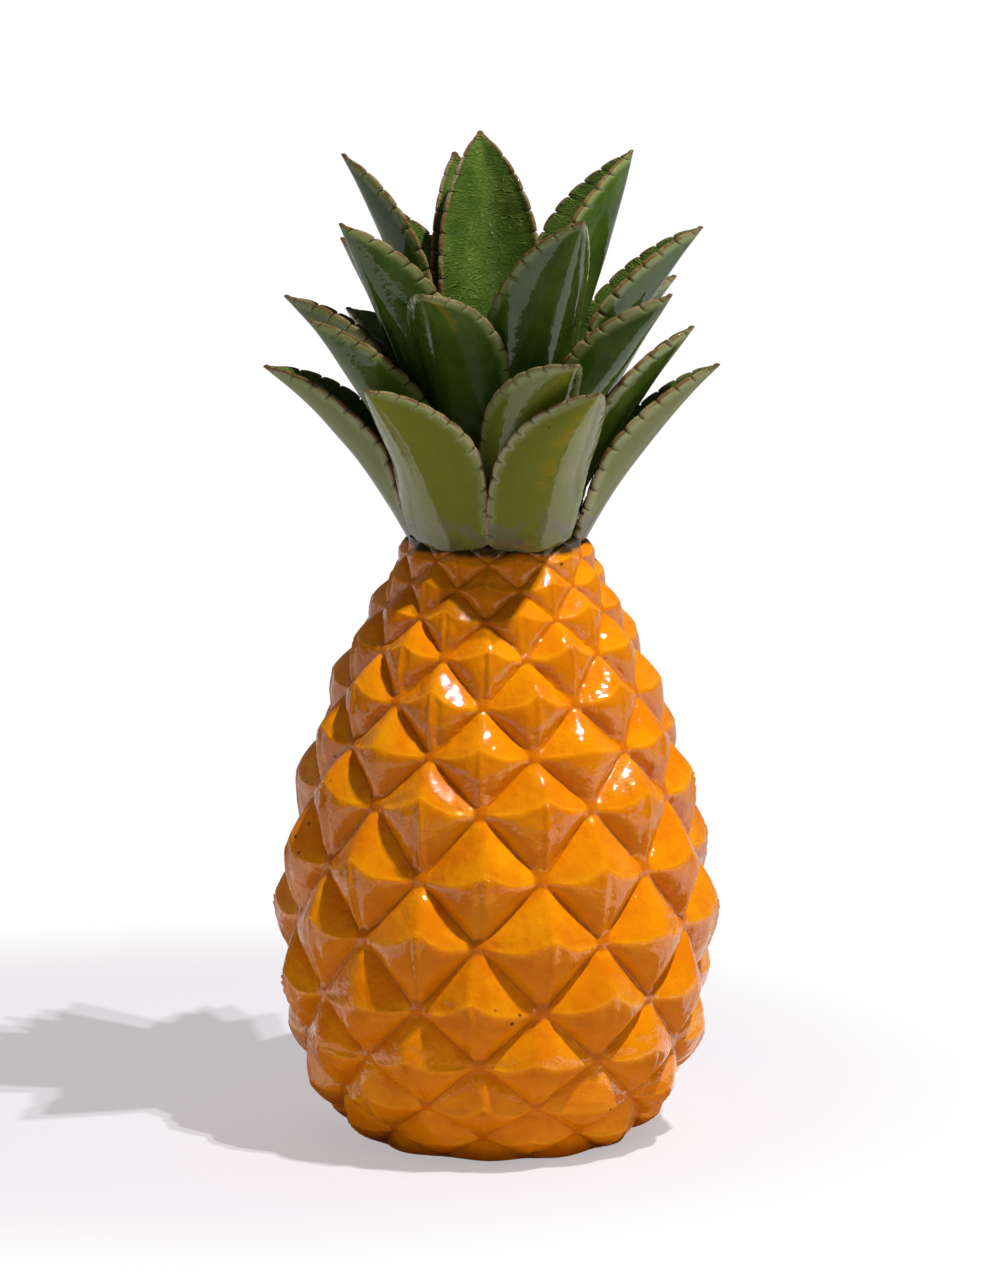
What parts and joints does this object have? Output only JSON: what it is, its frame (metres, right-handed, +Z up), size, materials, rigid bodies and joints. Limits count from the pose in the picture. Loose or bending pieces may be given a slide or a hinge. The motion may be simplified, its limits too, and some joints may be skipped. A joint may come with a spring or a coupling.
{
  "type": "pineapple vase",
  "caption": "Hollow glazed earthenware vase shaped as a pineapple, with diamond scales on the body and an open mouth inside a crown of folded leaves.",
  "frame": {"origin": "middle of the foot, on the surface that the vase stands on", "axes": "+Z up through the mouth, -Y towards the front of the vase"},
  "size_m": [0.2029, 0.1964, 0.4448],
  "materials": {
    "amber_glaze": "glossy honey-amber glaze over moulded scales",
    "leaf_glaze": "glossy crackled green glaze with brown notched rims",
    "collar_glaze": "glossy olive-green glaze",
    "bare_clay": "unglazed buff clay"
  },
  "bodies": {
    "root": {"body_shell": "amber_glaze", "base_slab": "bare_clay", "crown_collar": "collar_glaze", "tier1_leaf_front_left": "leaf_glaze", "tier1_leaf_front_right": "leaf_glaze", "tier1_leaf_right": "leaf_glaze", "tier1_leaf_back_right": "leaf_glaze", "tier1_leaf_back_left": "leaf_glaze", "tier1_leaf_left": "leaf_glaze", "tier2_leaf_front": "leaf_glaze", "tier2_leaf_right": "leaf_glaze", "tier2_leaf_back_right": "leaf_glaze", "tier2_leaf_back": "leaf_glaze", "tier2_leaf_back_left": "leaf_glaze", "tier2_leaf_far_left": "leaf_glaze", "tier2_leaf_left": "leaf_glaze", "tier3_leaf_front_left": "leaf_glaze", "tier3_leaf_right": "leaf_glaze", "tier3_leaf_back_right": "leaf_glaze", "tier3_leaf_back": "leaf_glaze", "tier3_leaf_back_left": "leaf_glaze", "tier3_leaf_far_left": "leaf_glaze", "tier4_leaf_left": "leaf_glaze", "tier4_leaf_front_right": "leaf_glaze", "tier4_leaf_right": "leaf_glaze", "tier4_leaf_back_left": "leaf_glaze", "tier4_leaf_back": "leaf_glaze", "tier4_leaf_back_right": "leaf_glaze", "tier5_leaf_right": "leaf_glaze", "tier5_leaf_back": "leaf_glaze", "tier5_leaf_left": "leaf_glaze"}
  },
  "joints": []
}
